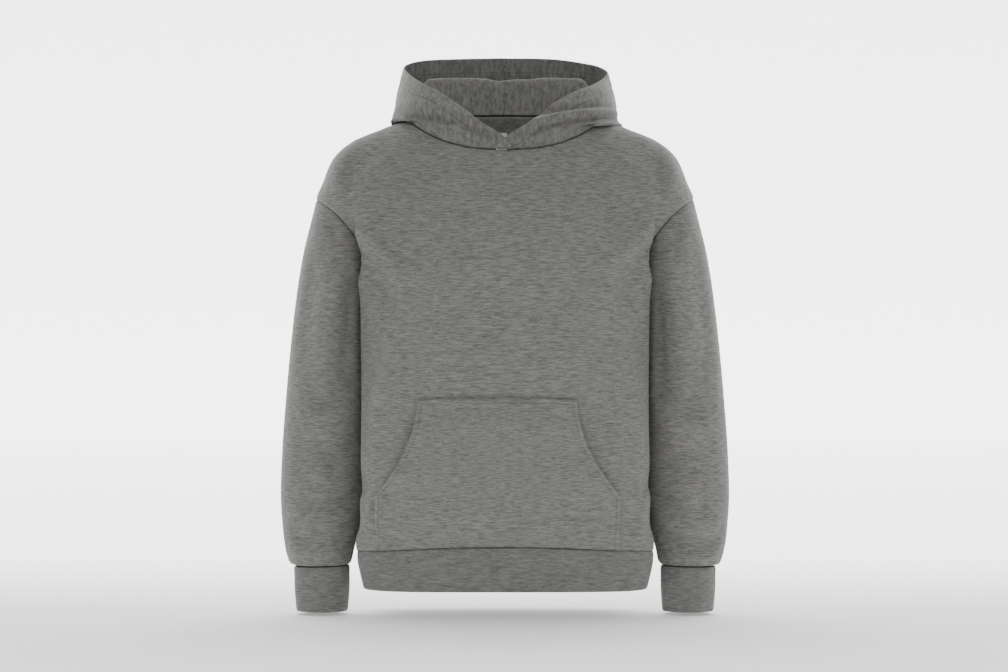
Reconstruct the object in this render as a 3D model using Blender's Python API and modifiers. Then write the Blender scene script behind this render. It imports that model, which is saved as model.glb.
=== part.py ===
"""Pullover hoodie of brushed jersey, hollow and filled out as it hangs on a wearer.

The front faces -Y, the wearer's right side is at -X and +Z is up. The origin is the middle of
the neck opening, level with the tops of the shoulders, where the wearer carries it. Sizes in
the tables are millimetres, and each mesh is made in metres.
"""

import math

import bmesh
import bpy
import numpy as np

GARMENT = "pullover_hoodie"
METRE = 0.001  # one millimetre
WALL = 1.8  # brushed jersey
SEAM_GAP = 0.3  # between two pieces where they are sewn

SIDE_Y = 6.0  # plane of the side and shoulder seams
ARMPIT_Z = -205.0
HEM_SEAM_Z = -592.0  # at centre front
HEM_SIDE_DROP = 9.0  # how much lower the hem seam runs at the sides
HEM_BOTTOM_Z = -655.0
NECK_HALF_WIDTH = 136.0
NECK_SIDE_Z = 4.0
NECK_FRONT_DROP = 47.0
NECK_BACK_RISE = 12.0
SHOULDER_TURN_Z = -24.0  # where the shoulder seam starts down over the arm
SHOULDER_TIP_Z = -108.0
CREST_SHARE = 0.72  # share of half a panel that lies inside its side fold
NECK_SHARE = 0.62  # share of that which ends on the neckline
NECK_CURVE = (2.4, 0.8)  # powers that round the scoop of the neckline
ARMHOLE_CENTRE = (225.5, -156.5)  # x and z
ARMHOLE_HALF = (42.5, 48.5)  # from the armpit to the shoulder tip
ARMHOLE_BOW = 14.0  # how far its front and back curve up off that line
ARMHOLE_REACH = {-1: 64.0, 1: 72.0}  # forward and back
SHOULDER_CAP = 9.0  # fullness of the cloth over the shoulder
CAP_WAY = (0.35, 0.9)  # how that fullness is shared outward and forward


def table(columns, *rows):
    """Rows of sizes under named columns."""
    return dict(zip(columns.split(), (np.array(column, float) for column in zip(*rows))))


def curve(knots, values, at):
    """A smooth curve through values at rising knots that never swings past a value."""
    knots, values = np.asarray(knots, float), np.asarray(values, float)
    at = np.clip(np.asarray(at, float), knots[0], knots[-1])
    extra = (1,) * (values.ndim - 1)
    step = np.diff(knots).reshape((-1,) + extra)
    rise = np.diff(values, axis=0) / step
    both = rise[:-1] * rise[1:]
    total = rise[:-1] + rise[1:]
    inner = np.where(both > 0, 2 * both / np.where(total == 0, 1, total), 0)
    slope = np.concatenate([rise[:1], inner, rise[-1:]])
    left = np.clip(np.searchsorted(knots, at, "right") - 1, 0, len(knots) - 2)
    width = np.diff(knots)[left].reshape(at.shape + extra)
    t = (at - knots[left]).reshape(at.shape + extra) / width
    start, end = values[left], values[left + 1]
    bend = slope[left] * width * t * (1 - t) ** 2 - slope[left + 1] * width * t**2 * (1 - t)
    return start + (end - start) * t**2 * (3 - 2 * t) + bend


def smooth(start, end, at):
    t = np.clip((np.asarray(at, float) - start) / (end - start), 0, 1)
    return t * t * (3 - 2 * t)


def mix(first, second, share):
    return first + (second - first) * share


# --- the filled-out body: level sections that the panels follow -------------------------------

BODY = table(
    "height half_width front back squareness",
    (-655, 203, 104, 101, 4.2),
    (-600, 210.5, 107, 106, 4.4),
    (-500, 206, 112, 110, 4.6),
    (-400, 208, 115, 112, 4.0),
    (-300, 215, 118, 117, 3.2),
    (-205, 228, 118, 122, 2.8),
    (-150, 256, 112, 119, 2.6),
    (-108, 268, 104, 112, 2.4),
    (-80, 258, 97, 105, 2.25),
    (-66, 253, 92, 101, 2.2),
    (-51, 246, 87, 97, 2.15),
    (-37, 234, 82, 92, 2.1),
    (-23, 214, 76, 86, 2.05),
    (-15, 196, 73, 83, 2.0),
    (-9, 180, 70, 80, 2.0),
    (-3, 165, 68, 77, 2.0),
    (1, 150, 66, 75, 2.0),
    (4, 136, 64, 73, 2.0),
    (16, 118, 58, 66, 2.0),
)
SIDES = table(
    "height fold seam hollow",
    (-655, 199, 196, 1),
    (-600, 208, 204, 2),
    (-560, 205, 200, 3),
    (-500, 202, 197, 4),
    (-400, 202, 194, 5),
    (-300, 203, 189, 6),
    (-250, 203, 185, 7),
    (-205, 203, 183, 6),
)


def body(name, z):
    return curve(BODY["height"], BODY[name], z)


def side(name, z):
    return curve(SIDES["height"], SIDES[name], z)


def depth(x, z, facing):
    """How far forward (facing -1) or back (facing 1) the body stands at this place."""
    square = body("squareness", z)
    share = np.clip(np.abs(x) / body("half_width", z), 0, 1)
    reach = (1 - share**square) ** (1 / square)
    stand = body("front" if facing < 0 else "back", z)
    return SIDE_Y + facing * (stand - facing * SIDE_Y) * reach


def neck_height(x, facing):
    """Height of the neckline: scooped in front, raised behind."""
    share = np.clip(np.abs(x) / NECK_HALF_WIDTH, 0, 1)
    scoop = (1 - share ** NECK_CURVE[0]) ** NECK_CURVE[1]
    return NECK_SIDE_Z + scoop * (-NECK_FRONT_DROP if facing < 0 else NECK_BACK_RISE)


def hem_height(x):
    return HEM_SEAM_Z - HEM_SIDE_DROP * np.clip(np.abs(x) / 205, 0, 1) ** 2


def armhole(share, facing):
    """The armhole seam of half a panel, from the armpit (0) to the shoulder tip (1)."""
    turn = math.pi * np.asarray(share, float)
    x = ARMHOLE_CENTRE[0] - ARMHOLE_HALF[0] * np.cos(turn)
    z = ARMHOLE_CENTRE[1] - ARMHOLE_HALF[1] * np.cos(turn) + ARMHOLE_BOW * np.sin(turn) ** 2
    return np.stack([x, SIDE_Y + facing * ARMHOLE_REACH[facing] * np.sin(turn), z], -1)


def top_edge(inner, outer):
    """The panel's upper edge seen from the front: neckline, then shoulder seam."""
    on_neck = np.clip(inner / NECK_SHARE, 0, 1)
    on_shoulder = np.clip((inner - NECK_SHARE) / (1 - NECK_SHARE), 0, 1)
    neck_x = NECK_HALF_WIDTH * np.sin(math.pi / 2 * on_neck)
    ridge_z = mix(NECK_SIDE_Z, SHOULDER_TURN_Z, on_shoulder**1.3)
    ridge_z = mix(ridge_z, SHOULDER_TIP_Z, outer)
    on_ridge = inner >= NECK_SHARE
    return on_ridge, np.where(on_ridge, body("half_width", ridge_z), neck_x), ridge_z


def panel(across, up, facing):
    """A point of the front or back panel: across -1 to 1, up from the hem seam (0), past the
    armpit (1), to the neckline and shoulder seam (2)."""
    across, up = np.broadcast_arrays(np.asarray(across, float), np.asarray(up, float))
    inner = np.clip(np.abs(across) / CREST_SHARE, 0, 1)
    outer = np.clip((np.abs(across) - CREST_SHARE) / (1 - CREST_SHARE), 0, 1)
    low, high = np.clip(up, 0, 1), np.clip(up - 1, 0, 1)

    level = mix(HEM_SEAM_Z, ARMPIT_Z, low)
    fold_x = side("fold", level)
    low_x = inner * fold_x
    low_z = level + (1 - low) * (hem_height(low_x) - HEM_SEAM_Z)

    on_ridge, top_x, ridge_z = top_edge(inner, 0 * outer)
    top_z = np.where(on_ridge, ridge_z, neck_height(top_x, facing))
    over = smooth(0.3, NECK_SHARE, inner)
    rising = mix(high, np.sin(math.pi / 2 * high), over)
    x = np.where(up > 1, mix(low_x, top_x, rising), low_x)
    z = np.where(up > 1, mix(low_z, top_z, rising), low_z)
    place = np.stack([x, depth(x, z, facing), z], -1)

    seam = np.stack([side("seam", level), 0 * level + SIDE_Y, low_z], -1)
    edge = np.where((up > 1)[..., None], armhole(high, facing), seam)
    hollow = side("hollow", level) * np.sin(math.pi * outer) * (1 - smooth(0, 0.5, high))
    wrapped = mix(place, edge, outer[..., None])
    wrapped[..., 0] -= hollow
    turn_x = body("half_width", SHOULDER_TURN_Z)
    _, tip_x, tip_z = top_edge(1 + 0 * outer, outer)
    chord_x = mix(turn_x, armhole(1.0, facing)[0], outer)
    chord_z = mix(SHOULDER_TURN_Z, armhole(1.0, facing)[2], outer)
    lift = high**1.5
    wrapped[..., 0] += (tip_x - chord_x) * lift
    wrapped[..., 2] += (tip_z - chord_z) * lift
    round_cap = SHOULDER_CAP * np.sin(math.pi * outer) * np.sin(math.pi * high) ** 2
    wrapped[..., 0] += CAP_WAY[0] * round_cap
    wrapped[..., 1] += facing * CAP_WAY[1] * round_cap
    place = np.where((outer > 0)[..., None], wrapped, place)
    place[..., 0] *= np.sign(across) + (across == 0)
    return place


# --- turning sheets of points into walls of cloth ---------------------------------------------


def draw_back(points, axis, gap):
    """Draws the first and last rows (axis 0) or columns (axis 1) back from their seams."""
    rows = np.moveaxis(points, axis, 0)
    for edge, inner in ((0, 1), (-1, -2)):
        away = rows[inner] - rows[edge]
        rows[edge] += away * (gap / np.linalg.norm(away, axis=-1))[..., None]
    return points


def cloth(name, points, round_tube=False, thickness=WALL, outward=False):
    """One wall of cloth on rows of points, whose outer face looks along row x column."""
    rows, columns = points.shape[:2]
    mesh = bmesh.new()
    corners = [[mesh.verts.new(place * METRE) for place in row] for row in points]
    for row in range(rows - 1):
        for column in range(columns if round_tube else columns - 1):
            following = (column + 1) % columns
            lower, upper = corners[row], corners[row + 1]
            mesh.faces.new((lower[column], lower[following], upper[following], upper[column]))
    data = bpy.data.meshes.new(name)
    mesh.to_mesh(data)
    mesh.free()
    data.shade_smooth()
    data.materials.append(jersey(name))
    piece = bpy.data.objects.new(name, data)
    bpy.data.collections[GARMENT].objects.link(piece)
    solidify = piece.modifiers.new("thickness", "SOLIDIFY")
    solidify.thickness = thickness * METRE
    solidify.offset = 1 if outward else -1
    return piece


def jersey(name, colour=(0.185, 0.184, 0.176)):
    """Heather grey brushed jersey, or the white of a label."""
    material = bpy.data.materials.new(name)
    material.use_nodes = True
    surface = material.node_tree.nodes["Principled BSDF"]
    surface.inputs["Base Color"].default_value = (*colour, 1)
    surface.inputs["Roughness"].default_value = 0.9
    surface.inputs["Metallic"].default_value = 0
    return material


# --- front and back ---------------------------------------------------------------------------

PANEL_ACROSS = (0, 0.16, 0.32, 0.46, 0.56, 0.65, CREST_SHARE, 0.79, 0.86, 0.93, 1)
PANEL_UP = (0, 0.12, 0.3, 0.5, 0.7, 0.87, *np.linspace(1, 2, 11))
PANEL_GAP = 0.45  # opens the curved seams enough for the cloth's inner edges


def make_panel(name, facing):
    half = np.array(PANEL_ACROSS)
    across = np.concatenate([-half[:0:-1], half])
    points = panel(across[None, :], np.array(PANEL_UP)[:, None], facing)
    points = draw_back(draw_back(points, 0, PANEL_GAP), 1, PANEL_GAP)
    return cloth(name, points if facing < 0 else points[:, ::-1])


# --- sleeves and cuffs ------------------------------------------------------------------------

SLEEVE = table(
    "down outer_x outer_z inner_x inner_z middle_y half_depth",
    (0.10, 278, -147, 189, -219, 7, 73),
    (0.18, 286, -180, 191.5, -242, 7, 73),
    (0.28, 295, -232, 197, -280, 8, 70),
    (0.40, 304, -305, 201.5, -335, 9, 64),
    (0.54, 312, -390, 204, -403, 10, 58),
    (0.68, 317.5, -465, 206, -470, 11, 55),
    (0.80, 319.5, -525, 208.5, -525, 11, 53),
    (0.89, 316.5, -575, 211.5, -573, 10, 49),
    (0.95, 312, -606, 214.5, -603, 9, 43),
    (0.985, 306.5, -621, 218, -618, 8, 37),
    (1.0, 300, -627, 221.5, -625.5, 8, 33),
)
CUFF = table(
    "down outer_x outer_z inner_x inner_z middle_y half_depth",
    (0, 299.5, -628.4, 222, -626.9, 8, 32.5),
    (0.4, 299.5, -650, 221.5, -650, 7.5, 32.5),
    (1, 297, -691.5, 223.5, -691.5, 7, 32),
)
ROUND_SLEEVE = 20  # points round a sleeve, which meet the rows of the panels at the armhole
ARMPIT_CLEAR = 2.3  # how far outside the body the sleeve starts under the arm


def ring(sizes, down, turn):
    """Points of a tube's ring, turn 0 on the outer side and growing towards the front."""
    read = {name: curve(sizes["down"], sizes[name], down) for name in sizes}
    x = mix(read["inner_x"], read["outer_x"], (1 + np.cos(turn)) / 2)
    z = mix(read["inner_z"], read["outer_z"], (1 + np.cos(turn)) / 2)
    return np.stack([x, read["middle_y"] - read["half_depth"] * np.sin(turn), z], -1)


def armhole_ring(turn):
    """The armhole seam as the sleeve's first ring."""
    share = 1 - np.abs((turn + math.pi) % (2 * math.pi) - math.pi) / math.pi
    in_front = (np.sin(turn) > 0)[..., None]
    seam = np.where(in_front, armhole(share, -1), armhole(share, 1))
    seam[..., 0] += ARMPIT_CLEAR * (1 - smooth(0, 0.5, share))
    return seam


def sleeve(down, turn):
    """A point of the sleeve, down from the armhole (0) to the cuff seam (1)."""
    down, turn = np.broadcast_arrays(np.asarray(down, float), np.asarray(turn, float))
    first = float(SLEEVE["down"][0])
    start = armhole_ring(turn)
    follow = ring(SLEEVE, np.maximum(down, first), turn)
    share = (down / first)[..., None]
    return np.where(share < 1, mix(start, follow, np.clip(share, 0, 1)), follow)


SLEEVE_DOWN = (0, 0.05, 0.11, 0.18, 0.28, 0.40, 0.54, 0.68, 0.80, 0.89, 0.95, 0.985, 1)
CUFF_DOWN = (0, 0.4, 1)
TUBE_GAP = 0.3


def make_tube(name, place, down, hand):
    """A tube of cloth on the wearer's right (hand -1) or left (hand 1) arm."""
    turn = np.arange(ROUND_SLEEVE) * 2 * math.pi / ROUND_SLEEVE
    points = place(np.array(down)[:, None], turn[None, :])
    points = draw_back(points, 0, TUBE_GAP)
    points[..., 0] *= hand
    points = points[::-1]
    return cloth(name, points if hand > 0 else points[:, ::-1], round_tube=True)


# --- hem band ---------------------------------------------------------------------------------

HEM_ACROSS = (0, 0.2, 0.4, 0.54, 0.64, CREST_SHARE, 0.86)
HEM_TUCK = 0.6  # the band sits this far inside the body where they are sewn


def hem_band(across, down, facing):
    """A point of the hem band, down from its seam (0) to the bottom edge (1)."""
    across, down = np.broadcast_arrays(np.asarray(across, float), np.asarray(down, float))
    inner = np.clip(np.abs(across) / CREST_SHARE, 0, 1)
    outer = np.clip((np.abs(across) - CREST_SHARE) / (1 - CREST_SHARE), 0, 1)
    level = mix(HEM_SEAM_Z - SEAM_GAP, HEM_BOTTOM_Z, down)
    tuck = HEM_TUCK * (1 - smooth(0, 0.35, down))
    x = inner * (side("fold", level) - tuck)
    z = level + (1 - down) * (hem_height(x) - HEM_SEAM_Z)
    y = depth(inner * side("fold", level), level, facing) - facing * tuck
    x = mix(x, side("seam", level) - tuck, outer)
    y = mix(y, SIDE_Y, outer)
    return np.stack([x * (np.sign(across) + (across == 0)), y, z], -1)


def make_hem():
    half = np.array(HEM_ACROSS)
    across = np.concatenate([-half[:0:-1], half])
    seams = np.array([1.0])
    down = np.array((1, 0.55, 0.15, 0))[:, None]
    front = hem_band(np.concatenate([across, seams])[None, :], down, -1)
    back = hem_band(np.concatenate([across[::-1], -seams])[None, :], down, 1)
    return cloth("hem_band", np.concatenate([front, back], 1), round_tube=True)


# --- kangaroo pocket --------------------------------------------------------------------------

POCKET_MIDDLE_X = -10.5
POCKET_TOP_Z = -386.5
POCKET_TOP_HALF = 110.0
POCKET_BOTTOM_HALF = 168.5
POCKET_CORNER_Z = -522.0  # where the slanted hand opening meets the side seam
POCKET_ROOM = 9.0  # how far the middle stands off the front
POCKET_LIFT = 0.75  # between the two cloths where they are sewn
POCKET_TOP_DROP = 2.5  # how much lower the top seam runs at its ends
POCKET_SLANT = 2.05  # power that bows the hand openings
POCKET_UP = (0, 0.1, 0.22, 0.34, 0.46, 0.6, 0.74, 0.87, 0.96, 1)
POCKET_ACROSS = (0, 0.22, 0.44, 0.64, 0.8, 0.91, 1)


def pocket(across, up):
    """A point of the pocket's inner face: sewn along top, bottom and low sides, and open
    along the two slanted hand openings."""
    across, up = np.broadcast_arrays(np.asarray(across, float), np.asarray(up, float))
    top = POCKET_TOP_Z - POCKET_TOP_DROP * across**2
    bottom = HEM_SEAM_Z + 1.0 - HEM_SIDE_DROP * (across * POCKET_BOTTOM_HALF / 205) ** 2
    z = mix(bottom, top, up)
    drop = np.clip((POCKET_TOP_Z - z) / (POCKET_TOP_Z - POCKET_CORNER_Z), 0, 1)
    half = mix(POCKET_TOP_HALF, POCKET_BOTTOM_HALF, drop**POCKET_SLANT)
    x = POCKET_MIDDLE_X + across * half
    open_side = smooth(POCKET_CORNER_Z, POCKET_CORNER_Z + 30, z) * (1 - smooth(0.85, 1, up))
    edge = np.abs(across) ** 5
    room = POCKET_ROOM * mix(1, open_side, edge)
    room = room * smooth(0, 0.22, up) * (1 - smooth(0.78, 1, up))
    return np.stack([x, depth(x, z, -1) - POCKET_LIFT - room, z], -1)


def make_pocket():
    half = np.array(POCKET_ACROSS)
    across = np.concatenate([-half[:0:-1], half])
    points = pocket(across[None, :], np.array(POCKET_UP)[:, None])
    return cloth("kangaroo_pocket", points, outward=True)


# --- hood, dropped back -----------------------------------------------------------------------

# Sections from the crossing at centre front (turn 0) round to the centre-back seam (turn 180).
# Each rises from the neck seam over a crest, down to the lowest fold and up to the open edge.
HOOD = table(
    "station turn crest_x crest_y crest_z low_x low_y low_z edge_x edge_y edge_z belly",
    (-0.3, -4, -9, -87, -39.5, -9, -89, -38.5, -9, -90, -37.5, 0),
    (0, 0, 0, -88, -39, 0, -91, -35, 0, -92, -26, 0),
    (1, 15, 36, -88, -34, 37, -93, -29, 35, -85, -2, 2),
    (2, 32, 70, -82, -22, 66, -89, -12, 62, -74, 19, 3),
    (3, 47.5, 101, -72, -12, 103, -76, -6, 92, -52, 41, 3),
    (4, 66, 128, -48, -1, 140, -43, 2, 119, -20, 58, 2),
    (5, 90, 142, 6, 10, 163, 14, 4, 138, 28, 75, 2),
    (6, 112, 131, 42, 32, 160, 68, -20, 146, 70, 88, 6),
    (7, 134, 107, 70, 70, 128, 110, -70, 128, 108, 101, 14),
    (8, 157, 56, 81, 72, 70, 132, -105, 72, 132, 107, 22),
    (9, 180, 0, 85, 69, 0, 138, -114, 0, 141, 109, 25),
    (10, 203, -56, 81, 72, -70, 132, -105, -72, 132, 107, 22),
)
HOOD_KNOTS = (0, 0.15, 0.32, 0.5, 0.75, 1)  # neck, crest, inner lay, low fold, belly, edge
HOOD_BASE_LIFT = 1.6
HOOD_SEAM_HALF_GAP = 0.5
HOOD_MIDDLE_Y = 25.0  # the hood swells outward from here
CROSSING = (4.0, -1.8)  # forward shift of the upper and the under layer at centre front
CROSSING_ENDS = (6, 34)  # the shift fades out between these distances from the middle
CROSSING_DEPTH = 40.0  # and between here and the front


def neck_loop(turn):
    """The neck seam, from centre front (0) to centre back (180 degrees)."""
    angle = np.radians(turn)
    x = NECK_HALF_WIDTH * np.sin(angle)
    facing_front = np.cos(angle) > 0
    z = np.where(facing_front, neck_height(x, -1), neck_height(x, 1))
    y = np.where(facing_front, depth(x, z, -1), depth(x, z, 1))
    return np.stack([x, y, z + HOOD_BASE_LIFT], -1)


def hood_half(station, rise, forward):
    """A point of one hood panel, rise from the neck seam (0) to the open edge (1)."""
    neck = neck_loop(HOOD["turn"])
    crest, low, edge = (
        np.stack([HOOD[f"{name}_{axis}"] for axis in "xyz"], -1) for name in ("crest", "low", "edge")
    )
    outward = edge - np.array([0.0, HOOD_MIDDLE_Y, 0.0])
    outward[:, 2] = 0
    outward /= np.maximum(np.linalg.norm(outward, axis=-1, keepdims=True), 1)
    lay = mix(crest, low, 0.5)
    belly = mix(low, edge, 0.5) + outward * HOOD["belly"][:, None]
    sections = curve(HOOD_KNOTS, np.stack([neck, crest, lay, low, belly, edge]), rise)
    points = curve(HOOD["station"], np.moveaxis(sections, 1, 0), station)
    near = 1 - smooth(*CROSSING_ENDS, points[..., 0])
    points[..., 1] -= forward * near * (1 - smooth(0, CROSSING_DEPTH, points[..., 1]))
    return points


HOOD_STATIONS = (-0.3, 0, 0.5, 1, 1.6, 2.2, 2.8, 3.4, 4, 4.6, 5.2, 5.8, 6.4, 7, 7.6, 8.3, 9)
HOOD_RISE = (0, 0.08, 0.15, 0.23, 0.32, 0.42, 0.5, 0.58, 0.68, 0.8, 0.91, 1)


def make_hood(name, hand, forward):
    points = hood_half(np.array(HOOD_STATIONS), np.array(HOOD_RISE), forward)
    points = np.moveaxis(points, 1, 0)
    points[:, -1, 0] = HOOD_SEAM_HALF_GAP
    points[..., 0] *= hand
    return cloth(name, points if hand > 0 else points[:, ::-1])


# --- neck label -------------------------------------------------------------------------------

LABEL_MIDDLE_X = -5.0
LABEL_WIDTH = 16.0
LABEL_TOP_Z = -7.0
LABEL_DROP = 25.0
LABEL_THICKNESS = 0.6
LABEL_STAND = 2.3  # its own thickness and how far it stands off the back


def make_label():
    """A blank woven label on the inner face of the back, below the neck seam."""
    across = LABEL_MIDDLE_X + LABEL_WIDTH * np.array((-0.5, 0, 0.5))
    height = LABEL_TOP_Z - LABEL_DROP * np.array((1, 0.5, 0))
    x, z = np.meshgrid(across, height)
    y = depth(x, z, 1) - WALL - SEAM_GAP - LABEL_STAND
    label = cloth("neck_label", np.stack([x, y, z], -1), thickness=LABEL_THICKNESS)
    label.data.materials[0] = jersey("label_white", (0.78, 0.77, 0.74))
    return label


# --- assembly ---------------------------------------------------------------------------------

for leftover in list(bpy.data.objects):
    bpy.data.objects.remove(leftover, do_unlink=True)
bpy.context.scene.collection.children.link(bpy.data.collections.new(GARMENT))

make_panel("body_front", -1)
make_panel("body_back", 1)
for wearer_side, hand in (("right", -1), ("left", 1)):
    make_tube(f"sleeve_{wearer_side}", sleeve, SLEEVE_DOWN, hand)
    make_tube(f"cuff_{wearer_side}", lambda down, turn: ring(CUFF, down, turn), CUFF_DOWN, hand)
    make_hood(f"hood_{wearer_side}", hand, CROSSING[0] if hand < 0 else CROSSING[1])
make_hem()
make_pocket()
make_label()
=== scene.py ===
"""Pullover hoodie of heather grey brushed jersey, as it hangs on a wearer nobody sees.

The front faces -Y, the wearer's right side is at -X and +Z is up. Sizes are millimetres, turned
into metres where a mesh is made. Every piece is one thin shell of cloth on its cut form, with its
creases placed one by one.
"""

import math

import bpy
import numpy as np
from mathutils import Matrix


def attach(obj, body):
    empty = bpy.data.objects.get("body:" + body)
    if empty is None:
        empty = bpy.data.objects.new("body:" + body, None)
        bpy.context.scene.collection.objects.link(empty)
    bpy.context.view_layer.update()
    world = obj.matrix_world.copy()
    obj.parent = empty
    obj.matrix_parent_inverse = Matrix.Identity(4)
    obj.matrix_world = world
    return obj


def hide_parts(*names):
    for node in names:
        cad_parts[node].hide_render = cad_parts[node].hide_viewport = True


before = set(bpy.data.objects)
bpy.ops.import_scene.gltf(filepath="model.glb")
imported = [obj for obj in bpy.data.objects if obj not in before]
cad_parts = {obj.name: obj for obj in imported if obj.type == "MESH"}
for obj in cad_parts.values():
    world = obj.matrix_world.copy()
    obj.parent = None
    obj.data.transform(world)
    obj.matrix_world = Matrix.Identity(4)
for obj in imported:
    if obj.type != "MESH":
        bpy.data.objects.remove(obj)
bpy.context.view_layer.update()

# --- front panel ------------------------------------------------------------------------------
# Cut wide and boxy. It is scooped at the neck, drops over the shoulders into the armholes and
# wraps round to the side seams behind the hanging sleeves. It blouses a little over the hem.

MM = 0.001  # one millimetre
CLOTH = 1.8  # brushed jersey
SIDE_Y = 6.0  # plane of the side and shoulder seams
ARMPIT_Z = -205.0
HEM_SEAM_Z = -592.0  # at centre front
HEM_SIDE_DROP = 9.0  # how much lower the hem seam runs at the sides
HEM_HALF = 205.0
HEM_BOTTOM_Z = -655.0
NECK_HALF = 136.0
NECK_SIDE_Z = 4.0
NECK_SCOOP = {-1: -47.0, 1: 12.0}  # front drop and back rise
NECK_CURVE = (2.4, 0.8)  # powers that round the scoop
SHOULDER_TURN_Z = -24.0  # where the shoulder seam starts down over the arm
SHOULDER_TIP_Z = -108.0
ARMHOLE_CENTRE = (225.5, -156.5)  # x and z
ARMHOLE_HALF = (42.5, 48.5)  # from the armpit to the shoulder tip
ARMHOLE_BOW = 14.0  # how far its front and back curve up off that line
ARMHOLE_REACH = {-1: 64.0, 1: 72.0}  # forward and back
SHOULDER_CAP = 9.0  # fullness of the cloth over the shoulder
CAP_WAY = (0.35, 0.9)  # how that fullness is shared outward and forward
CREST_SHARE = 0.72  # share of half a panel that lies inside its side fold
NECK_SHARE = 0.62  # share of that which ends on the neckline
NO_STITCH = 99  # a distance too far from any stitch line to show
HEM_BLOUSE = (2.0, 16, 13)  # swell over the hem seam, how far above it, and half its height


def table(columns, *rows):
    """Rows of sizes under named columns."""
    return dict(zip(columns.split(), (np.array(column, float) for column in zip(*rows))))


def curve(knots, values, at):
    """A smooth curve through values at rising knots that never swings past a value."""
    knots, values = np.asarray(knots, float), np.asarray(values, float)
    at = np.clip(np.asarray(at, float), knots[0], knots[-1])
    extra = (1,) * (values.ndim - 1)
    step = np.diff(knots).reshape((-1,) + extra)
    rise = np.diff(values, axis=0) / step
    both = rise[:-1] * rise[1:]
    total = rise[:-1] + rise[1:]
    inner = np.where(both > 0, 2 * both / np.where(total == 0, 1, total), 0)
    slope = np.concatenate([rise[:1], inner, rise[-1:]])
    left = np.clip(np.searchsorted(knots, at, "right") - 1, 0, len(knots) - 2)
    width = np.diff(knots)[left].reshape(at.shape + extra)
    t = (at - knots[left]).reshape(at.shape + extra) / width
    start, end = values[left], values[left + 1]
    bend = slope[left] * width * t * (1 - t) ** 2 - slope[left + 1] * width * t**2 * (1 - t)
    return start + (end - start) * t**2 * (3 - 2 * t) + bend


def smooth(start, end, at):
    t = np.clip((np.asarray(at, float) - start) / (end - start), 0, 1)
    return t * t * (3 - 2 * t)


def mix(first, second, share):
    return first + (second - first) * share


BODY = table(
    "height half_width front back squareness",
    (-655, 203, 104, 101, 4.2),
    (-600, 210.5, 107, 106, 4.4),
    (-500, 206, 112, 110, 4.6),
    (-400, 208, 115, 112, 4.0),
    (-300, 215, 118, 117, 3.2),
    (-205, 228, 118, 122, 2.8),
    (-150, 256, 112, 119, 2.6),
    (-108, 268, 104, 112, 2.4),
    (-80, 258, 97, 105, 2.25),
    (-66, 253, 92, 101, 2.2),
    (-51, 246, 87, 97, 2.15),
    (-37, 234, 82, 92, 2.1),
    (-23, 214, 76, 86, 2.05),
    (-15, 196, 73, 83, 2.0),
    (-9, 180, 70, 80, 2.0),
    (-3, 165, 68, 77, 2.0),
    (1, 150, 66, 75, 2.0),
    (4, 136, 64, 73, 2.0),
    (16, 118, 58, 66, 2.0),
)
SIDES = table(
    "height fold seam hollow",
    (-655, 199, 196, 1),
    (-600, 208, 204, 2),
    (-560, 205, 200, 3),
    (-500, 202, 197, 4),
    (-400, 202, 194, 5),
    (-300, 203, 189, 6),
    (-250, 203, 185, 7),
    (-205, 203, 183, 6),
)


def body(name, z):
    return curve(BODY["height"], BODY[name], z)


def side(name, z):
    return curve(SIDES["height"], SIDES[name], z)


def depth(x, z, facing):
    """How far forward (facing -1) or back (facing 1) the body stands at this place."""
    square = body("squareness", z)
    share = np.clip(np.abs(x) / body("half_width", z), 0, 1)
    reach = (1 - share**square) ** (1 / square)
    stand = body("front" if facing < 0 else "back", z)
    return SIDE_Y + facing * (stand - facing * SIDE_Y) * reach


def neck_height(x, facing):
    """Height of the neckline: scooped in front, raised behind."""
    share = np.clip(np.abs(x) / NECK_HALF, 0, 1)
    return NECK_SIDE_Z + (1 - share ** NECK_CURVE[0]) ** NECK_CURVE[1] * NECK_SCOOP[facing]


def hem_height(x):
    return HEM_SEAM_Z - HEM_SIDE_DROP * np.clip(np.abs(x) / HEM_HALF, 0, 1) ** 2


def armhole(share, facing):
    """The armhole seam, from the armpit (0) to the shoulder tip (1)."""
    turn = math.pi * np.asarray(share, float)
    x = ARMHOLE_CENTRE[0] - ARMHOLE_HALF[0] * np.cos(turn)
    z = ARMHOLE_CENTRE[1] - ARMHOLE_HALF[1] * np.cos(turn) + ARMHOLE_BOW * np.sin(turn) ** 2
    return np.stack([x, SIDE_Y + facing * ARMHOLE_REACH[facing] * np.sin(turn), z], -1)


def top_edge(inner, outer):
    """The panel's upper edge seen from the front: neckline, then shoulder seam."""
    on_neck = np.clip(inner / NECK_SHARE, 0, 1)
    on_shoulder = np.clip((inner - NECK_SHARE) / (1 - NECK_SHARE), 0, 1)
    ridge_z = mix(NECK_SIDE_Z, SHOULDER_TURN_Z, on_shoulder**1.3)
    ridge_z = mix(ridge_z, SHOULDER_TIP_Z, outer)
    on_ridge = inner >= NECK_SHARE
    neck_x = NECK_HALF * np.sin(math.pi / 2 * on_neck)
    return on_ridge, np.where(on_ridge, body("half_width", ridge_z), neck_x), ridge_z


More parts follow.
